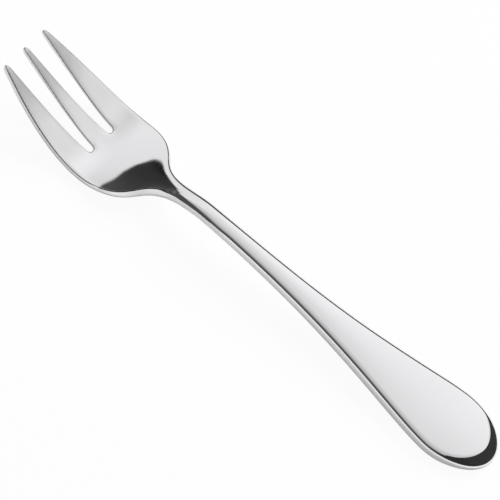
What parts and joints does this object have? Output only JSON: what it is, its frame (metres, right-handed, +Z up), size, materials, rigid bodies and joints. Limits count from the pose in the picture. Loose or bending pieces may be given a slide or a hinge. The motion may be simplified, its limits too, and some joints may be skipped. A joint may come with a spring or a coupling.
{
  "type": "oyster fork",
  "caption": "Small polished steel fork with slim tapering tines, a shallow dished head, a narrow arched neck and a teardrop handle with a bevelled end",
  "frame": {"origin": "centre of the bounding box, on the table plane that the bowl of the head and the end of the handle touch", "axes": "+X runs from the tips of the tines to the end of the handle, +Y across the fork, +Z up, out of the eating face"},
  "size_m": [0.146, 0.0238, 0.0134],
  "materials": {
    "polished_steel": "mirror-polished stainless steel, not plated"
  },
  "bodies": {
    "root": {"left_tine": "polished_steel", "middle_tine": "polished_steel", "right_tine": "polished_steel", "head": "polished_steel", "neck": "polished_steel", "stem": "polished_steel", "handle": "polished_steel"}
  },
  "joints": []
}
